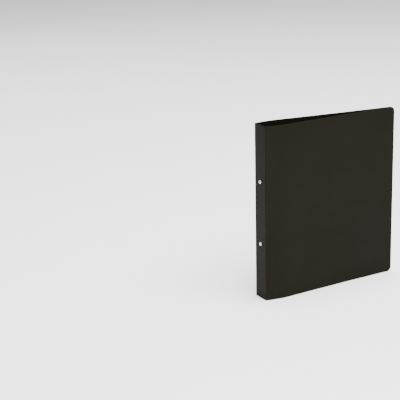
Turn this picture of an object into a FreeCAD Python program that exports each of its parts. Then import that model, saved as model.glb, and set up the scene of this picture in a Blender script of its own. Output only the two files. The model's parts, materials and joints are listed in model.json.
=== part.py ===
import FreeCAD, Part
import math
import os

import Sketcher

# Two-ring A4 binder of thin polypropylene sheet, standing on its bottom edges.
# Frame: the origin is the middle of the spine panel's bottom edge, +Z is up,
# +X runs from the spine to the fore edge, the front cover is on -Y and the back cover on +Y.

FRONT = -1
BACK = 1
SIDE_NAMES = {FRONT: "front", BACK: "back"}
LOWER = -1
UPPER = 1
LEVEL_NAMES = {LOWER: "lower", UPPER: "upper"}

# Driving dimensions, in millimetres and degrees.
SIZES = [
    # the sheet: spine, creases and covers
    ("binder_height", 320.0, "height of the spine and of both covers"),
    ("cover_reach", 286.0, "from the spine's middle plane to the fore edge"),
    ("sheet_thickness", 0.8, "polypropylene sheet"),
    ("ring_room", 2.2, "beside a closed ring, out to the crease axis"),
    ("crease_web", 0.4, "thickness of the sheet thinned to a living hinge"),
    ("crease_bead", 0.35, "radius of the bend line of a living hinge"),
    ("crease_room", 0.2, "keeps the panels' edges apart when a cover is folded right back"),
    ("flare_angle", 13.0, "how far a closed cover leaves the spine outwards"),
    ("shoulder_radius", 150.0, "bow of a closed cover beside the rings"),
    ("lean_angle", 6.0, "how far the cover leans inwards after its shoulder"),
    ("fore_edge_gap", 0.6, "between the closed covers at the fore edge"),
    ("corner_radius", 9.0, "rounded corners at the fore edge"),
    # the ring mechanism
    ("ring_pitch", 80.0, "between the two rings"),
    ("ring_bore", 25.0, "inner diameter of a ring"),
    ("wire_diameter", 2.8, "ring wire"),
    ("ring_lift", 4.1, "lowest reach of the ring's round above the sheet"),
    ("foot_inset", 3.5, "from a rail's pivot line in to the foot of a half ring"),
    ("foot_bend", 2.4, "bend radius between foot and ring"),
    ("tip_gap", 0.1, "between the closed tips of a ring"),
    ("tongue_radius", 0.6, "tongue on the front tip"),
    ("tongue_length", 0.9, "how far the tongue stands into the back tip"),
    ("tongue_clearance", 0.15, "around the tongue and beyond its end"),
    ("tail_radius", 1.0, "staked tail of a half ring"),
    ("tail_clearance", 0.1, "between a tail and its hole"),
    ("stake_radius", 1.6, "head formed on the tail below the rail"),
    ("stake_height", 0.4, "height of that head"),
    ("rail_thickness", 0.7, "steel strip of the hinge rails"),
    ("rail_gap", 0.1, "from the middle plane to a rail's free edge"),
    ("rail_play", 0.55, "between a rail's outer edge and the plate's side"),
    ("rail_lift", 0.65, "between a rail and the lip below it"),
    ("rail_end_play", 1.5, "from a rail's end to where the plate starts to narrow"),
    ("closed_tilt", 6.0, "tilt of the rails towards the spine when closed"),
    ("plate_width", 21.0, "arched cover plate"),
    ("plate_rise", 5.9, "crown of the plate above the sheet"),
    ("plate_shoulder", 2.4, "upright side of the plate"),
    ("plate_thickness", 0.6, "steel of the plate"),
    ("plate_nose", 5.0, "radius of the plate's rounded ends"),
    ("plate_lip", 1.5, "lip turned in under the rails"),
    ("plate_end", 7.5, "from a rivet's axis to the plate's end"),
    ("ear_rise", 3.4, "height of the plate's lowered ends"),
    ("ear_run", 3.5, "from a rivet's axis to the foot of the ramp"),
    ("ear_ramp", 4.0, "length of the ramp down to a lowered end"),
    ("slot_clearance", 0.3, "around the ring wire in the plate's slots"),
    ("slot_swing", 1.5, "room outside the foot for the ring to swing in"),
    # the rivets
    ("rivet_offset", 17.5, "from a ring to the nearer rivet"),
    ("rivet_head_radius", 3.5, "domed head on the spine's outer face"),
    ("rivet_dome", 1.3, "height of the dome over its rim"),
    ("rivet_rim", 0.3, "height of the head's rim"),
    ("rivet_shank_radius", 1.95, "tubular shank"),
    ("rivet_bore_radius", 1.35, "hollow of the shank"),
    ("rivet_clearance", 0.05, "between the shank and its holes"),
    ("rivet_flare_radius", 2.9, "rolled end on the plate"),
    ("rivet_flare", 0.6, "height of the rolled end"),
]

# Sizes that follow from the driving ones.
PIVOT_PLACE = "sizes.plate_width / 2 - sizes.plate_thickness - sizes.rail_play - sizes.rail_thickness / 2"
FOLLOWING = {
    "spine_width": "sizes.ring_bore + 2 * sizes.wire_diameter + 2 * sizes.ring_room",
    "setback": "sizes.sheet_thickness / 2 + sizes.crease_room",
    "ring_radius": "(sizes.ring_bore + sizes.wire_diameter) / 2",
    "ring_centre": "(sizes.ring_bore + sizes.wire_diameter) / 2 + sizes.ring_lift",
    "rivet_pitch": "sizes.ring_pitch + 2 * sizes.rivet_offset",
    "plate_length": "sizes.ring_pitch + 2 * sizes.rivet_offset + 2 * sizes.plate_end",
    "plate_straight": "sizes.ring_pitch + 2 * sizes.rivet_offset - 2 * sizes.ear_run - 2 * sizes.ear_ramp",
    "rail_length": "sizes.ring_pitch + 2 * sizes.rivet_offset - 2 * sizes.ear_run - 2 * sizes.ear_ramp"
                   " - 2 * sizes.rail_end_play",
    "pivot_place": PIVOT_PLACE,
    "rail_width": PIVOT_PLACE + " - sizes.rail_gap",
    "pivot_height": "sizes.plate_thickness + sizes.rail_lift + sizes.rail_thickness / 2",
    "foot_place": PIVOT_PLACE + " - sizes.foot_inset",
    "slot_start": PIVOT_PLACE + " - sizes.foot_inset - sizes.wire_diameter / 2 - sizes.slot_clearance",
    "slot_end": PIVOT_PLACE + " - sizes.foot_inset + sizes.wire_diameter / 2 + sizes.slot_swing",
    "rivet_hole": "sizes.rivet_shank_radius + sizes.rivet_clearance",
}

UP = FreeCAD.Vector(0, 0, 1)
ALONG_X = FreeCAD.Rotation(FreeCAD.Vector(0, 1, 0), 90)
ALONG_BACK = FreeCAD.Rotation(FreeCAD.Vector(1, 0, 0), -90)

doc = FreeCAD.newDocument("ring_binder")
sheet = doc.addObject("Spreadsheet::Sheet", "sizes")
for row, (alias, value, note) in enumerate(SIZES, start=1):
    sheet.set("A%d" % row, alias)
    sheet.set("B%d" % row, str(value))
    sheet.setAlias("B%d" % row, alias)
    sheet.set("C%d" % row, note)
doc.recompute()


def size(name):
    """Value of a driving size, or of one that follows from them."""
    if name in FOLLOWING:
        return float(sheet.evalExpression(FOLLOWING[name]))
    return float(sheet.get(name))


def bind(thing, **expressions):
    """Bind properties of one object to the sheet; a double underscore stands for a dot."""
    for name, expression in expressions.items():
        thing.setExpression(name.replace("__", "."), expression)


def vec(x, y, z=0.0):
    return FreeCAD.Vector(x, y, z)


# ---------------------------------------------------------------- sketches

def arc(start, middle, end):
    return Part.Arc(vec(*start), vec(*middle), vec(*end))


def line(start, end):
    return Part.LineSegment(vec(*start), vec(*end))


def polygon(points):
    """Lines through the points and back to the first."""
    return [line(a, b) for a, b in zip(points, points[1:] + points[:1])]


def fill_sketch(sketch, curves):
    """Add the curves and join the ends that meet."""
    sketch.addGeometry(curves, False)
    ends = [(i, pos) for i in range(len(curves)) for pos in (1, 2)]
    joints = []
    for n, first in enumerate(ends):
        for second in ends[n + 1:]:
            apart = sketch.getPoint(*first) - sketch.getPoint(*second)
            if first[0] != second[0] and apart.Length < 1e-6:
                joints.append(Sketcher.Constraint("Coincident", *first, *second))
    sketch.addConstraint(joints)
    return sketch


def fix_size(sketch, name, expression, kind, *where):
    """Add one named dimension to a sketch and bind it to the sheet."""
    index = sketch.addConstraint(Sketcher.Constraint(kind, *where))
    sketch.renameConstraint(index, name)
    sketch.setExpression("Constraints." + name, expression)


def origin_plane(body, role):
    return next(item for item in body.Origin.OriginFeatures if item.Role == role)


def body_sketch(body, name, role, curves):
    """Sketch on one of the body's own origin planes."""
    sketch = body.newObject("Sketcher::SketchObject", name)
    sketch.AttachmentSupport = [(origin_plane(body, role), "")]
    sketch.MapMode = "FlatFace"
    return fill_sketch(sketch, curves)


def prism(name, curves, placement, length, symmetric):
    """Loose sketch pulled along its normal by an expression of the sheet."""
    sketch = doc.addObject("Sketcher::SketchObject", name + "_outline")
    sketch.Placement = placement
    fill_sketch(sketch, curves)
    solid = doc.addObject("Part::Extrusion", name)
    solid.Base = sketch
    solid.DirMode = "Normal"
    solid.Solid = True
    solid.Symmetric = symmetric
    solid.setExpression("LengthFwd", length)
    return solid


def cylinder(name, place, radius, height, rotation=FreeCAD.Rotation()):
    """Round bar whose radius and height are expressions of the sheet."""
    bar = doc.addObject("Part::Cylinder", name)
    bar.Placement = FreeCAD.Placement(place, rotation)
    bind(bar, Radius=radius, Height=height)
    return bar


def joined(name, pieces):
    union = doc.addObject("Part::MultiFuse", name)
    union.Shapes = pieces
    return union


def shared(name, pieces):
    common = doc.addObject("Part::MultiCommon", name)
    common.Shapes = pieces
    return common


def less(name, base, tool):
    cut = doc.addObject("Part::Cut", name)
    cut.Base = base
    cut.Tool = tool
    return cut


# ---------------------------------------------------------------- levels and places

MIDDLE = size("binder_height") / 2
SHEET_FACE = size("sheet_thickness") / 2
XZ_PLANE = FreeCAD.Rotation(FreeCAD.Vector(1, 0, 0), 90)
YZ_PLANE = FreeCAD.Rotation(FreeCAD.Vector(1, 1, 1), 120)


def ring_height(level):
    return MIDDLE + level * size("ring_pitch") / 2


def rivet_height(level):
    return MIDDLE + level * size("rivet_pitch") / 2


# ---------------------------------------------------------------- the sheet

def spine_panel():
    """Flat middle of the sheet, with a hole for each rivet."""
    body = doc.addObject("PartDesign::Body", "spine_panel")
    half = size("spine_width") / 2 - size("setback")
    height = size("binder_height")
    corners = [(-half, 0), (half, 0), (half, height), (-half, height)]
    outline = body_sketch(body, "spine_outline", "YZ_Plane", polygon(corners))
    outline.addConstraint([Sketcher.Constraint("Horizontal", 0), Sketcher.Constraint("Vertical", 1),
                           Sketcher.Constraint("Horizontal", 2), Sketcher.Constraint("Vertical", 3)])
    fix_size(outline, "width", "%s - 2 * (%s)" % (FOLLOWING["spine_width"], FOLLOWING["setback"]),
             "DistanceX", 0, 1, 0, 2, 2 * half)
    fix_size(outline, "height", "sizes.binder_height", "DistanceY", 1, 1, 1, 2, height)
    panel = body.newObject("PartDesign::Pad", "spine_sheet")
    panel.Profile = outline
    panel.Midplane = True
    bind(panel, Length="sizes.sheet_thickness")

    radius = size("rivet_hole")
    circles = [Part.Circle(vec(0, rivet_height(level)), UP, radius) for level in (LOWER, UPPER)]
    holes = body_sketch(body, "rivet_hole_circles", "YZ_Plane", [])
    holes.addGeometry(circles, False)
    for index, level in enumerate((LOWER, UPPER)):
        fix_size(holes, LEVEL_NAMES[level] + "_radius", FOLLOWING["rivet_hole"], "Radius", index, radius)
    pocket = body.newObject("PartDesign::Pocket", "rivet_holes")
    pocket.Profile = holes
    pocket.Midplane = True
    pocket.Type = "ThroughAll"
    return body


def living_hinge(side):
    """Thinned strip between the spine panel and a cover, with a bead on the bend line."""
    label = SIDE_NAMES[side] + "_living_hinge"
    axis = side * size("spine_width") / 2
    web = doc.addObject("Part::Box", label + "_web")
    bind(web, Length="sizes.crease_web", Width=FOLLOWING["setback"], Height="sizes.binder_height")
    web_start = axis - size("setback") if side == BACK else axis
    web.Placement.Base = vec(-size("crease_web") / 2, web_start)
    bead = cylinder(label + "_bead", vec(0, axis), "sizes.crease_bead", "sizes.binder_height")
    return joined(label, [web, bead])


def cover_line():
    """Middle line of a closed cover in plan, as two tangent arcs given by centre, radius and angles.

    The first arc is the shoulder beside the rings; the second runs to the fore edge.
    An angle is the line's direction off +X, positive outwards.
    """
    flare = math.radians(size("flare_angle"))
    lean = math.radians(size("lean_angle"))
    shoulder = size("shoulder_radius")
    root_x = size("setback") * math.cos(flare)
    root_y = size("spine_width") / 2 + size("setback") * math.sin(flare)
    centre = (root_x + shoulder * math.sin(flare), root_y - shoulder * math.cos(flare))
    joint = (centre[0] + shoulder * math.sin(lean), centre[1] + shoulder * math.cos(lean))
    run_x = size("cover_reach") - joint[0]
    run_y = (size("fore_edge_gap") + size("sheet_thickness")) / 2 - joint[1]
    end = 2 * math.atan2(run_y, run_x) + lean
    sweep = math.hypot(run_x, run_y) / (2 * math.sin((end + lean) / 2))
    far_centre = (joint[0] + sweep * math.sin(lean), joint[1] + sweep * math.cos(lean))
    return (centre, -shoulder, flare, -lean), (far_centre, sweep, -lean, end)


def cover_arc(bow, side, offset):
    """Arc of a cover's face, the given distance outside its middle line."""
    centre, radius, start, end = bow
    points = []
    for angle in (start, (start + end) / 2, end):
        x = centre[0] + (radius - offset) * math.sin(angle)
        y = centre[1] - (radius - offset) * math.cos(angle)
        points.append((x, side * y))
    return points


def cover(side):
    """One cover, bowed as it stands closed, with rounded corners at the fore edge."""
    label = SIDE_NAMES[side] + "_cover"
    body = doc.addObject("PartDesign::Body", label)
    shoulder, run = cover_line()
    faces = [cover_arc(bow, side, offset) for offset in (SHEET_FACE, -SHEET_FACE) for bow in (shoulder, run)]
    outer_shoulder, outer_run, inner_shoulder, inner_run = faces
    curves = [arc(*face) for face in faces]
    curves.append(line(outer_run[-1], inner_run[-1]))
    curves.append(line(outer_shoulder[0], inner_shoulder[0]))
    profile = body_sketch(body, label + "_profile", "XY_Plane", curves)
    fix_size(profile, "outer_shoulder", "sizes.shoulder_radius + sizes.sheet_thickness / 2",
             "Radius", 0, size("shoulder_radius") + SHEET_FACE)
    fix_size(profile, "fore_edge", "sizes.sheet_thickness", "Distance", 4, size("sheet_thickness"))
    fix_size(profile, "crease_edge", "sizes.sheet_thickness", "Distance", 5, size("sheet_thickness"))
    pad = body.newObject("PartDesign::Pad", label + "_sheet")
    pad.Profile = profile
    bind(pad, Length="sizes.binder_height")
    doc.recompute()

    corners = []
    for number, edge in enumerate(pad.Shape.Edges, start=1):
        at_fore_edge = all(abs(v.X - size("cover_reach")) < size("sheet_thickness") for v in edge.Vertexes)
        if at_fore_edge and edge.Length < 2 * size("sheet_thickness"):
            corners.append("Edge%d" % number)
    rounding = body.newObject("PartDesign::Fillet", label + "_corners")
    rounding.Base = (pad, corners)
    bind(rounding, Radius="sizes.corner_radius")
    return body


# ---------------------------------------------------------------- the ring mechanism

def plate_outline(inset):
    """Plan of the plate in Y and Z about its middle: straight sides, then a taper to a round nose."""
    half = size("plate_width") / 2 - inset
    straight = size("plate_straight") / 2
    nose = size("plate_nose") - inset
    nose_centre = size("plate_length") / 2 - size("plate_nose")
    corner_away = math.hypot(half, straight - nose_centre)
    touch = math.atan2(half, straight - nose_centre) - math.acos(nose / corner_away)
    touch_y = nose * math.sin(touch)
    touch_z = nose_centre + nose * math.cos(touch)
    curves = []
    for end in (LOWER, UPPER):
        curves.append(line((-half, end * straight), (-touch_y, end * touch_z)))
        tip = (0, end * (nose_centre + nose))
        curves.append(arc((-touch_y, end * touch_z), tip, (touch_y, end * touch_z)))
        curves.append(line((touch_y, end * touch_z), (half, end * straight)))
    for edge in (FRONT, BACK):
        curves.append(line((edge * half, -straight), (edge * half, straight)))
    return curves


def plate_form(name, inset):
    """Canoe shape of the plate, drawn in by the inset: arched across, lowered at both ends."""
    base = SHEET_FACE + inset
    half = size("plate_width") / 2 - inset
    shoulder = SHEET_FACE + size("plate_shoulder")
    crown = SHEET_FACE + size("plate_rise") - inset
    ear = SHEET_FACE + size("ear_rise") - inset
    across = [line((base, -half), (shoulder, -half)), arc((shoulder, -half), (crown, 0), (shoulder, half)),
              line((shoulder, half), (base, half)), line((base, half), (base, -half))]
    arch = prism(name + "_arch", across, FreeCAD.Placement(vec(0, 0, MIDDLE), FreeCAD.Rotation()),
                 FOLLOWING["plate_length"], True)

    plan = prism(name + "_plan", plate_outline(inset), FreeCAD.Placement(vec(0, 0, MIDDLE), YZ_PLANE),
                 "4 * sizes.plate_rise", True)

    top = size("plate_straight") / 2
    low = top + size("ear_ramp") - inset / 2
    end = size("plate_length") / 2 - inset
    side_points = [(crown, -top), (crown, top), (ear, low), (ear, end), (base, end),
                   (base, -end), (ear, -end), (ear, -low)]
    side_view = prism(name + "_side", polygon(side_points),
                      FreeCAD.Placement(vec(0, 0, MIDDLE), XZ_PLANE), "2 * sizes.plate_width", True)
    return shared(name, [arch, plan, side_view])


def ring_slot(side, level):
    """Opening in the plate that a half ring passes through and swings in."""
    slot = doc.addObject("Part::Box", "%s_%s_slot" % (LEVEL_NAMES[level], SIDE_NAMES[side]))
    bind(slot, Length="2 * sizes.plate_rise",
         Width="%s - (%s)" % (FOLLOWING["slot_end"], FOLLOWING["slot_start"]),
         Height="sizes.wire_diameter + 2 * sizes.slot_clearance")
    low = ring_height(level) - size("wire_diameter") / 2 - size("slot_clearance")
    edge = size("slot_start") if side == BACK else -size("slot_end")
    slot.Placement.Base = vec(SHEET_FACE + size("plate_shoulder") / 2, edge, low)
    return slot


def mechanism_plate():
    """Arched cover plate with lips under the rails, ring slots and rivet holes."""
    outer = plate_form("plate_outer", 0.0)
    cavity = plate_form("plate_cavity", size("plate_thickness"))
    mouth = prism("plate_mouth", plate_outline(size("plate_thickness") + size("plate_lip")),
                  FreeCAD.Placement(vec(0, 0, MIDDLE), YZ_PLANE),
                  "sizes.sheet_thickness + 2.5 * sizes.plate_thickness", True)
    tools = [cavity, mouth]
    for level in (LOWER, UPPER):
        tools.append(cylinder("plate_hole_" + LEVEL_NAMES[level], vec(0, 0, rivet_height(level)),
                              FOLLOWING["rivet_hole"], "2 * sizes.plate_rise", ALONG_X))
        for side in (FRONT, BACK):
            tools.append(ring_slot(side, level))
    return less("mechanism_plate", outer, joined("plate_openings", tools))


def rail(side):
    """Steel strip that rocks on its outer edge inside the plate's lip and carries two half rings."""
    label = SIDE_NAMES[side] + "_rail"
    half = size("rail_thickness") / 2
    inwards = -side * size("rail_width")
    section = [line((half, 0), (half, inwards)), line((half, inwards), (-half, inwards)),
               line((-half, inwards), (-half, 0)), arc((-half, 0), (0, side * half), (half, 0))]
    strip = prism(label + "_strip", section, FreeCAD.Placement(), FOLLOWING["rail_length"], True)
    foot_along = (size("pivot_place") - size("foot_place")) / math.cos(math.radians(size("closed_tilt")))
    holes = []
    for level in (LOWER, UPPER):
        start = vec(-size("rail_thickness"), -side * foot_along, level * size("ring_pitch") / 2)
        holes.append(cylinder("%s_%s_hole" % (label, LEVEL_NAMES[level]), start,
                              "sizes.tail_radius + sizes.tail_clearance", "2 * sizes.rail_thickness",
                              ALONG_X))
    strip_with_holes = less(label, strip, joined(label + "_holes", holes))
    tilt = FreeCAD.Rotation(UP, -side * size("closed_tilt"))
    pivot = vec(SHEET_FACE + size("pivot_height"), side * size("pivot_place"), MIDDLE)
    strip_with_holes.Placement = FreeCAD.Placement(pivot, tilt)
    return strip_with_holes


def ring_path(side):
    """Foot, bend and half circle of a ring's middle line, in plan."""
    foot = size("foot_place")
    bend = size("foot_bend")
    radius = size("ring_radius")
    centre = size("ring_centre") + SHEET_FACE
    start = SHEET_FACE + size("pivot_height")
    drop = math.sqrt((radius + bend) ** 2 - (foot + bend) ** 2)
    bend_x = centre - drop
    share = radius / (radius + bend)
    touch = (centre - drop * share, (foot + bend) * share)
    half_turn = math.atan2(drop - drop * share, (foot + bend) - touch[1])
    middle = (bend_x + bend * math.sin(half_turn / 2), foot + bend - bend * math.cos(half_turn / 2))
    tip_y = size("tip_gap") / 2
    tip = (centre + math.sqrt(radius ** 2 - tip_y ** 2), tip_y)
    halfway = (centre, radius)
    points = [(start, foot), (bend_x, foot), middle, touch, halfway, tip]
    start, bend_start, middle, touch, halfway, tip = [(x, side * y) for x, y in points]
    return [line(start, bend_start), arc(bend_start, middle, touch), arc(touch, halfway, tip)]


def half_ring(side, level, carrier):
    """Half ring of round wire, staked to its rail, with a tongue or a socket at its tip."""
    label = "%s_ring_%s" % (LEVEL_NAMES[level], SIDE_NAMES[side])
    height = ring_height(level)
    radius = size("ring_radius")
    foot_x = SHEET_FACE + size("pivot_height")
    foot_y = side * size("foot_place")
    path = doc.addObject("Sketcher::SketchObject", label + "_path")
    path.Placement = FreeCAD.Placement(vec(0, 0, height), FreeCAD.Rotation())
    curves = ring_path(side)
    fill_sketch(path, curves)
    fix_size(path, "ring_radius", FOLLOWING["ring_radius"], "Radius", 2, radius)
    fix_size(path, "foot_bend", "sizes.foot_bend", "Radius", 1, size("foot_bend"))
    wire_end = doc.addObject("Part::Circle", label + "_section")
    wire_end.Placement = FreeCAD.Placement(vec(foot_x, foot_y, height), ALONG_X)
    bind(wire_end, Radius="sizes.wire_diameter / 2")
    wire = doc.addObject("Part::Sweep", label + "_wire")
    wire.Sections = [wire_end]
    wire.Spine = (path, ["Edge%d" % (n + 1) for n in range(len(curves))])
    wire.Solid = True
    wire.Frenet = False

    rail_drop = (size("pivot_place") - size("foot_place")) * math.tan(math.radians(size("closed_tilt")))
    stake_top = foot_x - rail_drop - size("rail_thickness") / 2
    stake_low = stake_top - size("stake_height")
    tail = cylinder(label + "_tail", vec(stake_low, foot_y, height), "sizes.tail_radius",
                    "sizes.stake_height + 2 * sizes.rail_thickness", ALONG_X)
    head = cylinder(label + "_stake", vec(stake_low, foot_y, height), "sizes.stake_radius",
                    "sizes.stake_height + sizes.rail_thickness / 2", ALONG_X)
    whole = joined(label + "_whole", [wire, tail, head])

    tip_x = size("ring_centre") + SHEET_FACE + radius
    if side == FRONT:
        start = -size("tip_gap") / 2 - size("tongue_length")
        tongue = cylinder(label + "_tongue", vec(tip_x, start, height), "sizes.tongue_radius",
                          "2 * sizes.tongue_length + sizes.tip_gap / 2", ALONG_BACK)
        seated = less(label + "_seated", whole, carrier)
        return joined(label, [seated, tongue])
    socket = cylinder(label + "_socket", vec(tip_x, 0, height),
                      "sizes.tongue_radius + sizes.tongue_clearance",
                      "sizes.tongue_length + sizes.tip_gap / 2 + sizes.tongue_clearance", ALONG_BACK)
    return less(label, less(label + "_seated", whole, carrier), socket)


def rivet(level):
    """Tubular rivet: domed head outside the spine, rolled end on the plate's lowered end."""
    label = LEVEL_NAMES[level] + "_rivet"
    body = doc.addObject("PartDesign::Body", label)
    head = size("rivet_head_radius")
    rim = -SHEET_FACE - size("rivet_rim")
    dome = size("rivet_dome")
    dome_radius = (head ** 2 + dome ** 2) / (2 * dome)
    half_angle = math.asin(head / dome_radius) / 2
    dome_middle = (rim - dome + dome_radius * (1 - math.cos(half_angle)), dome_radius * math.sin(half_angle))
    shank = size("rivet_shank_radius")
    bore = size("rivet_bore_radius")
    seat = SHEET_FACE + size("ear_rise")
    end = seat + size("rivet_flare")
    flare = size("rivet_flare_radius")
    curves = [arc((rim - dome, 0), dome_middle, (rim, head)), line((rim, head), (-SHEET_FACE, head)),
              line((-SHEET_FACE, head), (-SHEET_FACE, shank)), line((-SHEET_FACE, shank), (seat, shank)),
              line((seat, shank), (seat, flare)), arc((seat, flare), (end, (flare + bore) / 2), (seat, bore)),
              line((seat, bore), (-SHEET_FACE, bore)), line((-SHEET_FACE, bore), (-SHEET_FACE, 0)),
              line((-SHEET_FACE, 0), (rim - dome, 0))]
    profile = body_sketch(body, label + "_profile", "XY_Plane", curves)
    fix_size(profile, "rim_height", "sizes.rivet_rim", "Distance", 1, size("rivet_rim"))
    turned = body.newObject("PartDesign::Revolution", label + "_turned")
    turned.Profile = profile
    turned.ReferenceAxis = (profile, ["H_Axis"])
    turned.Angle = 360
    body.Placement.Base = vec(0, 0, rivet_height(level))
    return body


# ---------------------------------------------------------------- build, test and write

pieces = [spine_panel()]
for side in (FRONT, BACK):
    pieces.append(living_hinge(side))
    pieces.append(cover(side))
pieces.append(mechanism_plate())
for side in (FRONT, BACK):
    carrier = rail(side)
    pieces.append(carrier)
    for level in (LOWER, UPPER):
        pieces.append(half_ring(side, level, carrier))
for level in (LOWER, UPPER):
    pieces.append(rivet(level))
doc.recompute()

for thing in doc.Objects:
    if "Invalid" in thing.State or "Error" in thing.State:
        raise RuntimeError("%s did not compute: %s" % (thing.Name, thing.State))
for piece in pieces:
    piece.Label = piece.Name
    if piece.Shape.isNull() or not piece.Shape.isValid():
        raise RuntimeError("%s has no sound shape" % piece.Label)
    if len(piece.Shape.Solids) != 1:
        raise RuntimeError("%s has %d solids" % (piece.Label, len(piece.Shape.Solids)))
panel = doc.getObject("spine_sheet").Shape.Volume - doc.getObject("spine_panel").Shape.Volume
hole = math.pi * size("rivet_hole") ** 2 * size("sheet_thickness")
if abs(panel - 2 * hole) > 0.01 * hole:
    raise RuntimeError("the rivet holes did not cut the spine panel")

os.makedirs("parts", exist_ok=True)
for piece in pieces:
    piece.Shape.exportStep("parts/%s.step" % piece.Label)
    print("%-20s %10.1f mm3" % (piece.Label, piece.Shape.Volume))
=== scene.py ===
"""A two-ring A4 binder of black polypropylene sheet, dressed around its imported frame.

Everything is in metres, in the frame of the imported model: the origin is the middle of the spine
panel's bottom edge, +Z is up, +X runs to the fore edge and the front cover is on -Y.
"""
import json
import logging
import math
from dataclasses import dataclass
from enum import Enum

import bmesh
import bpy
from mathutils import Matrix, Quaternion, Vector


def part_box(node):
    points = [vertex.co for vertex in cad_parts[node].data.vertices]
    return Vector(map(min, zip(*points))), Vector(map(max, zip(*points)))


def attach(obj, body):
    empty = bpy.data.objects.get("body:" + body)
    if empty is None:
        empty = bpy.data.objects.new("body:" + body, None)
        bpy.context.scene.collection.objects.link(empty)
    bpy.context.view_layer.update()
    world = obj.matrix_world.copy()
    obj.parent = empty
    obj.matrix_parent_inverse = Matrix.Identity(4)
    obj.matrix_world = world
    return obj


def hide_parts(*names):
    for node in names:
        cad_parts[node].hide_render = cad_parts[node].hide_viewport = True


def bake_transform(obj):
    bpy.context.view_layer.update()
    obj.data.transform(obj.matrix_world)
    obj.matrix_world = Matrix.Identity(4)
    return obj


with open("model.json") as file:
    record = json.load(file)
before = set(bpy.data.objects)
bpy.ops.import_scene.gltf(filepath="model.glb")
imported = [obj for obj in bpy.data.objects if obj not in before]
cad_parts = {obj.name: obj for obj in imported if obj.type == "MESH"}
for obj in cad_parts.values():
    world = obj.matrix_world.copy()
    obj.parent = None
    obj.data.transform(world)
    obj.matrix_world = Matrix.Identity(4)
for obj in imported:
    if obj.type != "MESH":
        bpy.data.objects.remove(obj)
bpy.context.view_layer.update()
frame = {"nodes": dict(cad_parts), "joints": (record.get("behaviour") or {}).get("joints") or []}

MM = 0.001
LOG = logging.getLogger("ring_binder")

Pair = tuple[float, float]
Triple = tuple[float, float, float]
Column = list[Triple]


class Side(Enum):
    """The two sides of the binder; the value is the side's sign along Y."""

    FRONT = -1
    BACK = 1

    @property
    def word(self) -> str:
        """Name of the side as the frame's nodes and bodies spell it."""
        return self.name.lower()


class Level(Enum):
    """The two heights at which rings and rivets sit."""

    LOWER = "lower"
    UPPER = "upper"


class Face(Enum):
    """Material slots of a piece cut from the sheet."""

    SURFACE = 0
    CUT_EDGE = 1


# ---------------------------------------------------------------- node helpers

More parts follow.
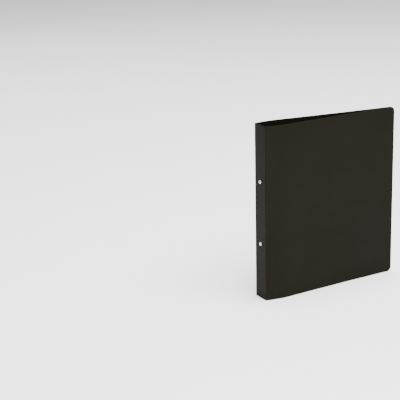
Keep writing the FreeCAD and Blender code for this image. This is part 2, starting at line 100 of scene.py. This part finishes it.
class Shader:
    """A material with one Principled shader and short calls for adding nodes to it."""

    noise_low = 0.3
    noise_high = 0.7

    def __init__(self, name: str) -> None:
        """Make the empty material.

        Args:
            name: name of the material.
        """
        self.material = bpy.data.materials.new(name)
        self.material.use_nodes = True
        self.nodes = self.material.node_tree.nodes
        self.links = self.material.node_tree.links
        self.principled = self.nodes["Principled BSDF"]

    def add(self, kind: str, **values: object) -> bpy.types.Node:
        """Add one node.

        Args:
            kind: Blender's name of the node type.
            **values: properties of the node; a name that the node lacks is one of its sockets, with
                underscores for spaces.

        Returns:
            The new node.
        """
        node = self.nodes.new(kind)
        for name, value in values.items():
            if hasattr(node, name):
                setattr(node, name, value)
            else:
                node.inputs[name.replace("_", " ")].default_value = value
        return node

    def link(self, source: bpy.types.NodeSocket, target: bpy.types.NodeSocket) -> None:
        """Join an output socket to an input socket."""
        self.links.new(source, target)

    def set(self, **values: object) -> None:
        """Set sockets of the Principled shader, with underscores for spaces in their names."""
        for name, value in values.items():
            self.principled.inputs[name.replace("_", " ")].default_value = value

    def drive(self, source: bpy.types.NodeSocket, socket: str) -> None:
        """Let a value drive one socket of the Principled shader."""
        self.link(source, self.principled.inputs[socket])

    def noise(self, scale: float, detail: float, stretch: Triple = (1, 1, 1)) -> bpy.types.NodeSocket:
        """Noise in the piece's own space.

        Args:
            scale: waves per metre.
            detail: octaves of finer noise.
            stretch: factors on the three axes.

        Returns:
            The noise value's socket.
        """
        place = self.add("ShaderNodeTexCoord")
        mapping = self.add("ShaderNodeMapping", Scale=stretch)
        self.link(place.outputs["Object"], mapping.inputs["Vector"])
        noise = self.add("ShaderNodeTexNoise", Scale=scale, Detail=detail)
        self.link(mapping.outputs["Vector"], noise.inputs["Vector"])
        return noise.outputs["Fac"]

    def cells(self, scale: float) -> bpy.types.NodeSocket:
        """Rounded cells in the piece's own space.

        Args:
            scale: cells per metre.

        Returns:
            The socket of the distance from a cell's middle.
        """
        place = self.add("ShaderNodeTexCoord")
        cells = self.add("ShaderNodeTexVoronoi", feature="SMOOTH_F1", Scale=scale)
        self.link(place.outputs["Object"], cells.inputs["Vector"])
        return cells.outputs["Distance"]

    def spread(self, source: bpy.types.NodeSocket, low: float, high: float) -> bpy.types.NodeSocket:
        """Map a noise value's middle range to the given limits.

        Args:
            source: the noise value.
            low: result at the low end of the range.
            high: result at its high end.

        Returns:
            The mapped value's socket.
        """
        ramp = self.add("ShaderNodeMapRange")
        ramp.inputs["From Min"].default_value = self.noise_low
        ramp.inputs["From Max"].default_value = self.noise_high
        ramp.inputs["To Min"].default_value = low
        ramp.inputs["To Max"].default_value = high
        self.link(source, ramp.inputs["Value"])
        return ramp.outputs["Result"]

    def tint(self, source: bpy.types.NodeSocket, dark: Triple, light: Triple) -> None:
        """Colour the shader between two tones.

        Args:
            source: a noise value that leads from one tone to the other.
            dark: the darker tone.
            light: the lighter tone.
        """
        mix = self.add("ShaderNodeMix", data_type="RGBA")
        mix.inputs["A"].default_value = (*dark, 1.0)
        mix.inputs["B"].default_value = (*light, 1.0)
        self.link(self.spread(source, 0.0, 1.0), mix.inputs["Factor"])
        self.drive(mix.outputs["Result"], "Base Color")

    def bump(self, *heights: tuple[bpy.types.NodeSocket, float]) -> None:
        """Stack bumps on the shader's normal.

        Args:
            *heights: pairs of a height socket and the depth in metres that its full range stands for.
        """
        normal = None
        for height, depth in heights:
            bump = self.add("ShaderNodeBump", Strength=1.0, Distance=depth)
            self.link(height, bump.inputs["Height"])
            if normal is not None:
                self.link(normal, bump.inputs["Normal"])
            normal = bump.outputs["Normal"]
        self.drive(normal, "Normal")


# ---------------------------------------------------------------- finishes

@dataclass(frozen=True)
class EmbossedSheet:
    """Extruded polypropylene with a fine leather-like grain rolled into it."""

    name: str = "black_polypropylene"
    ior: float = 1.49
    specular: float = 0.03
    dark: Triple = (0.0070, 0.0060, 0.0039)
    light: Triple = (0.0079, 0.0069, 0.0047)
    clouds_per_metre: float = 14.0
    cloud_detail: float = 3.0
    gloss: Pair = (0.47, 0.50)
    rubs_per_metre: float = 90.0
    rub_detail: float = 5.0
    grain_per_metre: float = 1500.0
    grain_depth: float = 0.075 * MM
    fine_ratio: float = 2.3
    fine_detail: float = 2.0
    fine_share: float = 0.4

    def material(self) -> bpy.types.Material:
        """Make the sheet's material: mottled black, uneven gloss and two sizes of grain.

        Returns:
            The material.
        """
        shader = Shader(self.name)
        shader.set(IOR=self.ior, Specular_IOR_Level=self.specular)
        shader.tint(shader.noise(self.clouds_per_metre, self.cloud_detail), self.dark, self.light)
        rubbed = shader.noise(self.rubs_per_metre, self.rub_detail)
        shader.drive(shader.spread(rubbed, *self.gloss), "Roughness")
        grain = shader.cells(self.grain_per_metre)
        fine = shader.noise(self.grain_per_metre * self.fine_ratio, self.fine_detail)
        shader.bump((grain, self.grain_depth), (fine, self.grain_depth * self.fine_share))
        return shader.material


@dataclass(frozen=True)
class CutEdge:
    """Sheet edge left by the cutting die: smoother and a touch lighter than the face."""

    name: str = "cut_polypropylene"
    ior: float = 1.49
    specular: float = 0.06
    dark: Triple = (0.0065, 0.0057, 0.0042)
    light: Triple = (0.0100, 0.0090, 0.0070)
    gloss: Pair = (0.40, 0.50)
    drags_per_metre: float = 700.0
    drag_detail: float = 2.0
    drag_depth: float = 0.02 * MM

    def material(self) -> bpy.types.Material:
        """Make the edge's material: a slightly paler band with fine drag marks.

        Returns:
            The material.
        """
        shader = Shader(self.name)
        shader.set(IOR=self.ior, Specular_IOR_Level=self.specular)
        drag = shader.noise(self.drags_per_metre, self.drag_detail)
        shader.tint(drag, self.dark, self.light)
        shader.drive(shader.spread(drag, *self.gloss), "Roughness")
        shader.bump((drag, self.drag_depth))
        return shader.material


@dataclass(frozen=True)
class PlatedSteel:
    """Nickel or zinc plated steel, with the marks of its drawing or rolling."""

    name: str
    dark: Triple
    light: Triple
    gloss: Pair
    stretch: Triple = (1.0, 1.0, 1.0)
    haze_per_metre: float = 140.0
    haze_detail: float = 4.0
    marks_per_metre: float = 900.0
    mark_detail: float = 3.0
    mark_depth: float = 0.004 * MM

    def material(self) -> bpy.types.Material:
        """Make the metal's material: handling haze in its tone, faint marks and uneven gloss.

        Returns:
            The material.
        """
        shader = Shader(self.name)
        shader.set(Metallic=1.0)
        shader.tint(shader.noise(self.haze_per_metre, self.haze_detail), self.dark, self.light)
        marks = shader.noise(self.marks_per_metre, self.mark_detail, self.stretch)
        shader.drive(shader.spread(marks, *self.gloss), "Roughness")
        shader.bump((marks, self.mark_depth))
        return shader.material


@dataclass(frozen=True)
class StudioFloor:
    """Plain pale floor that the binder stands on."""

    name: str = "studio_floor"
    dark: Triple = (0.92, 0.92, 0.92)
    light: Triple = (0.9384, 0.9384, 0.9384)
    patches_per_metre: float = 3.0
    patch_detail: float = 2.0
    roughness: float = 0.85
    specular: float = 0.15

    def material(self) -> bpy.types.Material:
        """Make the floor's material: matt, almost even.

        Returns:
            The material.
        """
        shader = Shader(self.name)
        shader.set(Roughness=self.roughness, Specular_IOR_Level=self.specular)
        shader.tint(shader.noise(self.patches_per_metre, self.patch_detail), self.dark, self.light)
        return shader.material


NICKEL_PLATE = PlatedSteel(
    name="bright_nickel_plate", dark=(0.46, 0.45, 0.43), light=(0.56, 0.55, 0.53),
    gloss=(0.17, 0.27), stretch=(1.0, 1.0, 0.03))
NICKEL_WIRE = PlatedSteel(
    name="bright_nickel_wire", dark=(0.52, 0.51, 0.49), light=(0.62, 0.61, 0.59), gloss=(0.10, 0.18))
ZINC_STRIP = PlatedSteel(
    name="zinc_strip", dark=(0.42, 0.43, 0.43), light=(0.56, 0.57, 0.57),
    gloss=(0.28, 0.46), stretch=(1.0, 1.0, 0.04))
RIVET_NICKEL = PlatedSteel(
    name="rivet_nickel", dark=(0.50, 0.49, 0.47), light=(0.62, 0.61, 0.59), gloss=(0.16, 0.26))


# ---------------------------------------------------------------- mesh helpers

def new_piece(name: str, mesh: bmesh.types.BMesh, materials: list[bpy.types.Material]) -> bpy.types.Object:
    """Turn a bmesh into a linked object with consistent normals.

    Args:
        name: name of the piece.
        mesh: the geometry; it is freed here.
        materials: the piece's material slots, in order.

    Returns:
        The new object.
    """
    bmesh.ops.recalc_face_normals(mesh, faces=mesh.faces[:])
    data = bpy.data.meshes.new(name)
    mesh.to_mesh(data)
    mesh.free()
    for material in materials:
        data.materials.append(material)
    data.shade_smooth()
    piece = bpy.data.objects.new(name, data)
    bpy.context.scene.collection.objects.link(piece)
    LOG.info("%s: %d faces", name, len(data.polygons))
    return piece


def soften(piece: bpy.types.Object, width: float, angle: float, segments: int = 2) -> None:
    """Round a piece's sharp edges.

    Args:
        piece: the object to soften.
        width: width of the rounding.
        angle: edges sharper than this angle are rounded.
        segments: faces across the rounding.
    """
    bevel = piece.modifiers.new("soft_edges", "BEVEL")
    bevel.width = width
    bevel.segments = segments
    bevel.limit_method = "ANGLE"
    bevel.angle_limit = angle
    bevel.use_clamp_overlap = True
    bevel.harden_normals = True


def sheet_solid(outer: list[Column], inner: list[Column]) -> bmesh.types.BMesh:
    """Close two grids of points into one sheet with a rim.

    Args:
        outer: columns of points on the outer face.
        inner: matching columns on the inner face.

    Returns:
        A closed bmesh whose rim faces carry the cut-edge material.
    """
    mesh = bmesh.new()
    grids = [[[mesh.verts.new(point) for point in column] for column in face] for face in (outer, inner)]
    columns, rows = len(outer), len(outer[0])
    for grid in grids:
        for i in range(columns - 1):
            for j in range(rows - 1):
                mesh.faces.new((grid[i][j], grid[i + 1][j], grid[i + 1][j + 1], grid[i][j + 1]))
    rim = [(i, 0) for i in range(columns)]
    rim += [(columns - 1, j) for j in range(1, rows)]
    rim += [(i, rows - 1) for i in range(columns - 2, -1, -1)]
    rim += [(0, j) for j in range(rows - 2, 0, -1)]
    top, under = grids
    for (i, j), (next_i, next_j) in zip(rim, rim[1:] + rim[:1]):
        corners = (top[i][j], top[next_i][next_j], under[next_i][next_j], under[i][j])
        mesh.faces.new(corners).material_index = Face.CUT_EDGE.value
    return mesh


def lathe(profile: list[Pair], centre: Vector, turns: int = 64) -> bmesh.types.BMesh:
    """Turn a profile about a line along X.

    Args:
        profile: pairs of place along X and radius; a zero radius closes the end.
        centre: a point on the axis, added to every place.
        turns: faces around.

    Returns:
        The turned bmesh.
    """
    mesh = bmesh.new()
    rings = []
    for x, radius in profile:
        count = turns if radius > 0 else 1
        ring = []
        for n in range(count):
            angle = 2 * math.pi * n / turns
            point = Vector((x, radius * math.cos(angle), radius * math.sin(angle)))
            ring.append(mesh.verts.new(centre + point))
        rings.append(ring)
    for a, b in zip(rings, rings[1:]):
        for n in range(turns):
            corners = [a[n % len(a)], a[(n + 1) % len(a)], b[(n + 1) % len(b)], b[n % len(b)]]
            mesh.faces.new(list(dict.fromkeys(corners)))
    return mesh


def bell(distance: float, width: float) -> float:
    """Smooth hump of height 1 and the given width."""
    return math.exp(-(distance / width) ** 2)


def levels(low: float, high: float, count: int) -> list[float]:
    """Evenly spaced values from low to high, with count steps between them."""
    return [low + (high - low) * n / count for n in range(count + 1)]


# ---------------------------------------------------------------- the sheet

@dataclass(frozen=True)
class Arc:
    """Arc in plan.

    An angle of 0 points from the centre towards the middle plane, and a negative radius turns that round.
    """

    centre: Pair
    radius: float
    first: float
    last: float

    @property
    def length(self) -> float:
        """Length of the arc."""
        return abs(self.radius * (self.last - self.first))

    def point(self, share: float, offset: float = 0.0) -> Pair:
        """Point beside the arc.

        Args:
            share: 0 at the arc's start and 1 at its end.
            offset: distance outside the arc's line, away from the binder's middle.

        Returns:
            Place along X, and distance outwards from the middle plane.
        """
        angle = self.first + (self.last - self.first) * share
        reach = self.radius - offset
        return (self.centre[0] + reach * math.sin(angle), self.centre[1] - reach * math.cos(angle))


@dataclass(frozen=True)
class SheetPlan:
    """Sizes of the sheet and the plan line of a closed cover."""

    thickness: float
    height: float
    crease: float
    reach: float
    room: float = 0.2 * MM
    flare: float = math.radians(13.0)
    lean: float = math.radians(6.0)
    shoulder: float = 150.0 * MM
    fore_gap: float = 0.6 * MM
    corner: float = 9.0 * MM
    rim: float = 0.16 * MM
    rim_angle: float = math.radians(60.0)

    @classmethod
    def from_frame(cls) -> "SheetPlan":
        """Read the sheet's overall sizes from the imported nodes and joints.

        Returns:
            The plan.
        """
        low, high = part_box("spine_panel")
        hinge = next(joint for joint in frame["joints"] if joint["name"] == "back_cover_hinge")
        return cls(thickness=high.x - low.x, height=high.z - low.z, crease=hinge["pos_m"][1],
                   reach=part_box("back_cover")[1].x)

    @property
    def skin(self) -> float:
        """Distance from the middle of the sheet to either face."""
        return self.thickness / 2

    @property
    def setback(self) -> float:
        """Distance from a crease axis to the edge of the panel beside it."""
        return self.skin + self.room

    @property
    def root(self) -> Pair:
        """Where the cover's middle line starts, as place along X and distance outwards."""
        return (self.setback * math.cos(self.flare), self.crease + self.setback * math.sin(self.flare))

    def bows(self) -> tuple[Arc, Arc]:
        """The two arcs of the cover's middle line.

        Returns:
            The shoulder beside the rings, and the sweep from there to the fore edge.
        """
        # Each centre lies one radius from its arc's start, on the far side of the line.
        centre = Arc(self.root, self.shoulder, self.flare, self.flare).point(0.0)
        shoulder = Arc(centre, -self.shoulder, self.flare, -self.lean)
        meet = shoulder.point(1.0)
        run_x = self.reach - meet[0]
        run_y = (self.fore_gap + self.thickness) / 2 - meet[1]
        end = 2 * math.atan2(run_y, run_x) + self.lean
        radius = math.hypot(run_x, run_y) / (2 * math.sin((end + self.lean) / 2))
        far = Arc(meet, -radius, -self.lean, -self.lean).point(0.0)
        return shoulder, Arc(far, radius, -self.lean, end)

    @property
    def length(self) -> float:
        """Length of the cover's middle line."""
        return sum(arc.length for arc in self.bows())

    def place(self, along: float, offset: float) -> Pair:
        """Point on the cover in plan.

        Args:
            along: distance along the middle line from the cover's root.
            offset: distance outside the middle line.

        Returns:
            Place along X, and distance outwards from the middle plane.
        """
        shoulder, sweep = self.bows()
        if along > shoulder.length:
            return sweep.point((along - shoulder.length) / sweep.length, offset)
        return shoulder.point(along / shoulder.length, offset)


@dataclass(frozen=True)
class Warp:
    """Slight unevenness of a large sheet, from cooling and handling."""

    depth: float = 0.16 * MM
    front_phase: float = 0.7
    back_phase: float = 2.1
    phase_ratio: float = 1.9
    waves_along: float = 21.0
    waves_up: float = 17.0
    slant_along: float = 43.0
    slant_up: float = 29.0
    slant_share: float = 0.5

    def droop(self, side: Side, along: float, height: float) -> float:
        """How far the sheet's middle stands inside its plan line.

        Args:
            side: the cover's side, which shifts the waves.
            along: distance along the cover's middle line.
            height: height on the cover.

        Returns:
            A distance from 0 to the warp's full depth.
        """
        phase = self.front_phase if side is Side.FRONT else self.back_phase
        wave = math.sin(self.waves_along * along + phase)
        wave *= math.sin(self.waves_up * height + self.phase_ratio * phase)
        wave += self.slant_share * math.sin(self.slant_along * along - self.slant_up * height + phase)
        return self.depth * (0.5 + wave / (2 * (1 + self.slant_share)))


@dataclass
class Cover:
    """One cover: bowed sheet with a pressed relief line and rounded corners."""

    side: Side
    plan: SheetPlan
    warp: Warp = Warp()
    relief_place: float = 13.0 * MM
    relief_width: float = 0.55 * MM
    relief_depth: float = 0.20 * MM
    inner_share: float = 0.5
    step: float = 4.0 * MM
    relief_step: float = 0.3 * MM
    relief_steps: int = 8
    corner_steps: int = 10
    least_step: float = 0.12 * MM
    rows: int = 72

    def columns(self) -> list[float]:
        """Places of the mesh's columns, closer together at the relief line and the corners.

        Returns:
            Distances from the cover's root.
        """
        total = self.plan.length
        places = {0.0, total}
        for n in range(1, int(total / self.step)):
            places.add(n * self.step)
        for n in range(-self.relief_steps, self.relief_steps + 1):
            places.add(self.relief_place + n * self.relief_step)
        for n in range(1, self.corner_steps):
            turn = n / self.corner_steps * math.pi / 2
            places.add(total - self.plan.corner * (1 - math.sin(turn)))
        near = sorted(places)
        return [a for a, b in zip(near, near[1:]) if b - a > self.least_step] + [total]

    def point(self, along: float, height: float, outer: bool) -> Triple:
        """Point on one face of the cover.

        Args:
            along: distance along the middle line from the cover's root.
            height: height on the cover.
            outer: True for the outer face.

        Returns:
            The point, in the frame.
        """
        groove = bell(along - self.relief_place, self.relief_width) * self.relief_depth
        offset = self.plan.skin - groove if outer else -self.plan.skin + self.inner_share * groove
        x, out = self.plan.place(along, offset - self.warp.droop(self.side, along, height))
        return (x, self.side.value * out, height)

    def build(self, surface: bpy.types.Material, edge: bpy.types.Material) -> bpy.types.Object:
        """Make the cover's mesh and let it ride on its body.

        Args:
            surface: material of both faces.
            edge: material of the cut edges.

        Returns:
            The cover's object.
        """
        corner = self.plan.corner
        total = self.plan.length
        faces = ([], [])
        for along in self.columns():
            inside = max(0.0, along - (total - corner))
            cut = corner - math.sqrt(max(0.0, corner ** 2 - inside ** 2))
            heights = levels(cut, self.plan.height - cut, self.rows)
            for face, outer in zip(faces, (True, False)):
                face.append([self.point(along, height, outer) for height in heights])
        piece = new_piece(self.side.word + "_cover_sheet", sheet_solid(*faces), [surface, edge])
        soften(piece, self.plan.rim, self.plan.rim_angle)
        node = self.side.word + "_cover"
        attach(piece, node)
        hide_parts(node)
        return piece


@dataclass
class SpinePanel:
    """Flat middle of the sheet, drawn in a little around the rivets."""

    plan: SheetPlan
    rivets: tuple[float, ...]
    dimple_depth: float = 0.14 * MM
    dimple_radius: float = 5.6 * MM
    dimple_width: float = 1.7 * MM
    columns: int = 32
    rows: int = 230

    def dimple(self, across: float, height: float) -> float:
        """Depth of the ring-shaped dip around the nearer rivet's head."""
        nearest = min(math.hypot(across, height - rivet) for rivet in self.rivets)
        return self.dimple_depth * bell(nearest - self.dimple_radius, self.dimple_width)

    def build(self, surface: bpy.types.Material, edge: bpy.types.Material) -> bpy.types.Object:
        """Make the panel's mesh and let it ride on the spine.

        Args:
            surface: material of both faces.
            edge: material of the cut edges.

        Returns:
            The panel's object.
        """
        half = self.plan.crease - self.plan.setback
        skin = self.plan.skin
        heights = levels(0.0, self.plan.height, self.rows)
        outer, inner = [], []
        for across in levels(-half, half, self.columns):
            outer.append([(-skin + self.dimple(across, z), across, z) for z in heights])
            inner.append([(skin, across, z) for z in heights])
        piece = new_piece("spine_sheet", sheet_solid(outer, inner), [surface, edge])
        soften(piece, self.plan.rim, self.plan.rim_angle)
        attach(piece, "spine")
        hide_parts("spine_panel")
        return piece


@dataclass
class LivingHinge:
    """Crease between the spine panel and a cover: sheet thinned on the inside, round on the outside."""

    side: Side
    plan: SheetPlan
    dip: float = 0.05 * MM
    steps: int = 14
    rows: int = 80

    def outlines(self) -> tuple[list[Vector], list[Vector]]:
        """Outer and inner line of the crease in plan, from the spine panel to the cover.

        Returns:
            Two lists of place along X and distance outwards.
        """
        flare = self.plan.flare
        skin = self.plan.skin
        lead = self.plan.setback
        start = self.plan.crease - lead
        root = Vector(self.plan.root)
        normal = Vector((-math.sin(flare), math.cos(flare))) * skin
        along = Vector((math.cos(flare), math.sin(flare))) * lead
        outer = (Vector((-skin, start)), Vector((-skin, start + lead)),
                 root + normal - along, root + normal)
        inner_start, inner_end = Vector((skin, start)), root - normal
        bend = Vector((-self.dip, self.plan.crease - self.dip))
        inner = (inner_start, (inner_start + bend) / 2, (inner_end + bend) / 2, inner_end)
        return self.curve(outer), self.curve(inner)

    def curve(self, controls: tuple[Vector, ...]) -> list[Vector]:
        """Points along one cubic curve.

        Args:
            controls: the curve's four control points.

        Returns:
            The points, from the first control to the last.
        """
        points = []
        for share in levels(0.0, 1.0, self.steps):
            rest = 1 - share
            weights = (rest ** 3, 3 * rest ** 2 * share, 3 * rest * share ** 2, share ** 3)
            points.append(sum((c * w for c, w in zip(controls, weights)), Vector((0.0, 0.0))))
        return points

    def build(self, surface: bpy.types.Material, edge: bpy.types.Material) -> bpy.types.Object:
        """Make the crease between the spine and the cover.

        Args:
            surface: material of both faces.
            edge: material of the cut ends.

        Returns:
            The crease's object.
        """
        sign = self.side.value
        heights = levels(0.0, self.plan.height, self.rows)
        faces = [[[(x, sign * out, z) for z in heights] for x, out in line] for line in self.outlines()]
        piece = new_piece(self.side.word + "_crease", sheet_solid(*faces), [surface, edge])
        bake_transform(piece)
        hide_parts(self.side.word + "_living_hinge")
        return piece


# ---------------------------------------------------------------- the ring mechanism

@dataclass
class Rivet:
    """Tubular rivet with a low domed head outside and a rolled end on the plate."""

    level: Level
    head: float = 3.5 * MM
    rim: float = 0.3 * MM
    brim: float = 0.08 * MM
    fullness: float = 0.9
    shank: float = 1.95 * MM
    bore: float = 1.35 * MM
    flare: float = 2.9 * MM
    rolled: float = 0.6 * MM
    steps: int = 12
    sharp_angle: float = math.radians(50.0)

    @property
    def node(self) -> str:
        """Name of the rivet's node."""
        return self.level.value + "_rivet"

    @property
    def height(self) -> float:
        """Height of the rivet's axis."""
        low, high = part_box(self.node)
        return (low.z + high.z) / 2

    def dome(self, crown: float, skin: float) -> list[Pair]:
        """Profile of the head, from the dome's crown to the shank.

        Args:
            crown: place of the crown.
            skin: distance from the middle of the sheet to its outer face.

        Returns:
            Pairs of place along X and radius.
        """
        edge = -skin - self.rim
        points = [(crown, 0.0)]
        for n in range(1, self.steps + 1):
            turn = n / self.steps * math.pi / 2
            rise = (edge - crown) * math.cos(turn) ** self.fullness
            points.append((edge - rise, self.head * math.sin(turn)))
        points += [(-skin - self.brim, self.head), (-skin, self.head - self.brim), (-skin, self.shank)]
        return points

    def rolled_end(self, seat: float, skin: float) -> list[Pair]:
        """Profile of the rolled end and of the bore inside it.

        Args:
            seat: place of the plate's face that the end is rolled onto.
            skin: distance from the middle of the sheet to its inner face.

        Returns:
            Pairs of place along X and radius.
        """
        roll = (self.flare - self.bore) / 2
        middle = (self.flare + self.bore) / 2
        points = [(seat, self.shank), (seat, self.flare)]
        for n in range(1, self.steps):
            turn = n / self.steps * math.pi
            points.append((seat + self.rolled * math.sin(turn), middle + roll * math.cos(turn)))
        points += [(seat, self.bore), (skin, self.bore), (skin, 0.0)]
        return points

    def build(self, metal: bpy.types.Material, plan: SheetPlan) -> bpy.types.Object:
        """Turn the rivet and let it ride on the spine.

        Args:
            metal: material of the rivet.
            plan: sizes of the sheet that it holds.

        Returns:
            The rivet's object.
        """
        low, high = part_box(self.node)
        profile = self.dome(low.x, plan.skin) + self.rolled_end(high.x - self.rolled, plan.skin)
        centre = Vector((0.0, 0.0, self.height))
        piece = new_piece(self.node + "_turned", lathe(profile, centre), [metal])
        piece.data.set_sharp_from_angle(angle=self.sharp_angle)
        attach(piece, "spine")
        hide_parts(self.node)
        return piece


@dataclass
class RingMechanism:
    """Arched plate, hinge rails and half rings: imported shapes, with the sheet metal's edges rounded."""

    edge: float = 0.14 * MM
    edge_angle: float = math.radians(35.0)

    def dress(self, node: str, metal: bpy.types.Material, softened: bool) -> None:
        """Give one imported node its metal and, if asked, rounded edges.

        Args:
            node: name of the node.
            metal: its material.
            softened: True to round its edges.
        """
        piece = frame["nodes"][node]
        piece.data.materials.clear()
        piece.data.materials.append(metal)
        if softened:
            soften(piece, self.edge, self.edge_angle)
        LOG.info("%s: dressed in %s", node, metal.name)

    def build(self) -> None:
        """Dress every node of the mechanism."""
        self.dress("mechanism_plate", NICKEL_PLATE.material(), True)
        strip = ZINC_STRIP.material()
        wire = NICKEL_WIRE.material()
        for side in Side:
            self.dress(side.word + "_rail", strip, True)
            for level in Level:
                self.dress("%s_ring_%s" % (level.value, side.word), wire, False)


# ---------------------------------------------------------------- the studio

@dataclass(frozen=True)
class Softbox:
    """One rectangular soft light."""

    name: str
    place: Triple
    size: Pair
    watts: float
    aim: Triple = (0.12, 0.0, 0.16)
    seen: bool = True

    def hang(self) -> None:
        """Put the light into the scene, facing its aim."""
        light = bpy.data.lights.new(self.name, "AREA")
        light.shape = "RECTANGLE"
        light.size, light.size_y = self.size
        light.energy = self.watts
        lamp = bpy.data.objects.new(self.name, light)
        lamp.location = self.place
        lamp.rotation_euler = (Vector(self.aim) - Vector(self.place)).to_track_quat("-Z", "Y").to_euler()
        lamp.visible_camera = self.seen
        bpy.context.scene.collection.objects.link(lamp)


SOFTBOXES = (
    Softbox("overhead", place=(0.5, -0.7, 3.2), size=(4.2, 4.2), watts=560.0),
    Softbox("front_fill", place=(-0.2, -3.0, 0.8), size=(1.8, 1.0), watts=2.0),
    Softbox("rear_fill", place=(-0.2, 3.2, 1.4), size=(2.0, 1.4), watts=14.0),
    Softbox("low_front", place=(-0.25, -0.80, 0.12), size=(1.2, 0.16), watts=5.0,
            aim=(0.08, 0.0, 0.0), seen=False),
)


@dataclass
class Studio:
    """Floor, lights, sky and camera."""

    camera_place: Triple = (-1.0257, -1.7623, 0.7788)
    camera_aim: Triple = (-0.0602, 0.1166, 0.1645)
    camera_roll: float = math.radians(-1.289)
    lens: float = 108.0
    sensor: float = 36.0
    clip_start: float = 0.05
    clip_end: float = 60.0
    floor_size: float = 14.0
    floor_cells: int = 8
    sky: Triple = (1.0, 1.0, 1.0)
    sky_strength: float = 0.5

    def floor(self) -> None:
        """Lay the floor that the binder stands on."""
        mesh = bmesh.new()
        cells = self.floor_cells
        bmesh.ops.create_grid(mesh, x_segments=cells, y_segments=cells, size=self.floor_size / 2)
        new_piece("floor", mesh, [StudioFloor().material()])

    def lights(self) -> None:
        """Hang the softboxes and set the sky."""
        for softbox in SOFTBOXES:
            softbox.hang()
        world = bpy.data.worlds.new("studio_sky")
        bpy.context.scene.world = world
        world.use_nodes = True
        background = world.node_tree.nodes["Background"]
        background.inputs["Color"].default_value = (*self.sky, 1.0)
        background.inputs["Strength"].default_value = self.sky_strength

    def camera(self) -> None:
        """Place the camera at the viewing angle."""
        data = bpy.data.cameras.new("camera")
        data.lens = self.lens
        data.sensor_width = self.sensor
        data.clip_start = self.clip_start
        data.clip_end = self.clip_end
        camera = bpy.data.objects.new("camera", data)
        look = (Vector(self.camera_aim) - Vector(self.camera_place)).to_track_quat("-Z", "Y")
        camera.rotation_mode = "QUATERNION"
        camera.rotation_quaternion = look @ Quaternion((0.0, 0.0, 1.0), self.camera_roll)
        camera.location = self.camera_place
        bpy.context.scene.collection.objects.link(camera)
        bpy.context.scene.camera = camera

    def build(self) -> None:
        """Set up the whole studio."""
        self.camera()
        self.floor()
        self.lights()
        LOG.info("studio ready")


# ---------------------------------------------------------------- making


def main() -> None:
    """Build the studio and every piece of the binder, in order."""
    logging.basicConfig(level=logging.INFO, format="%(name)s %(message)s")
    Studio().build()
    plan = SheetPlan.from_frame()
    surface = EmbossedSheet().material()
    edge = CutEdge().material()
    rivets = [Rivet(level) for level in Level]
    SpinePanel(plan, tuple(rivet.height for rivet in rivets)).build(surface, edge)
    for side in Side:
        LivingHinge(side, plan).build(surface, edge)
        Cover(side, plan).build(surface, edge)
    RingMechanism().build()
    metal = RIVET_NICKEL.material()
    for rivet in rivets:
        rivet.build(metal, plan)


if __name__ == "__main__":
    main()
